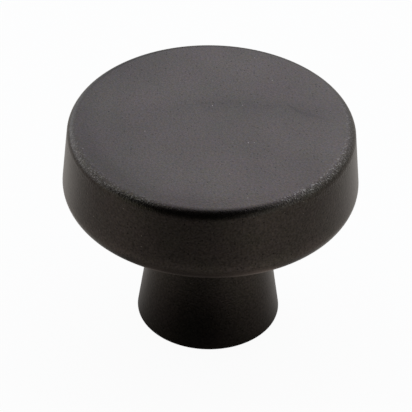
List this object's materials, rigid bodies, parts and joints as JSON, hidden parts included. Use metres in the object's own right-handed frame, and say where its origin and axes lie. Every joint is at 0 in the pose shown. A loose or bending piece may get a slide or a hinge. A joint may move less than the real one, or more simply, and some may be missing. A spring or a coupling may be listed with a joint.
{
  "type": "cabinet knob",
  "caption": "Round cabinet knob with a thick drafted disc head on a tapered stem, and a blind tapped hole in its foot for a screw through the door or drawer front.",
  "frame": {"origin": "centre of the foot's flat face, which seats on the door or drawer front", "axes": "+Z along the knob's axis, from the foot towards the head's top face; X and Y are free, as the knob is round"},
  "size_m": [0.033, 0.033, 0.0258],
  "materials": {
    "black_bronze": "satin black-bronze coat on die-cast zinc, fine-grained"
  },
  "bodies": {
    "root": {"knob": "black_bronze"}
  },
  "joints": []
}
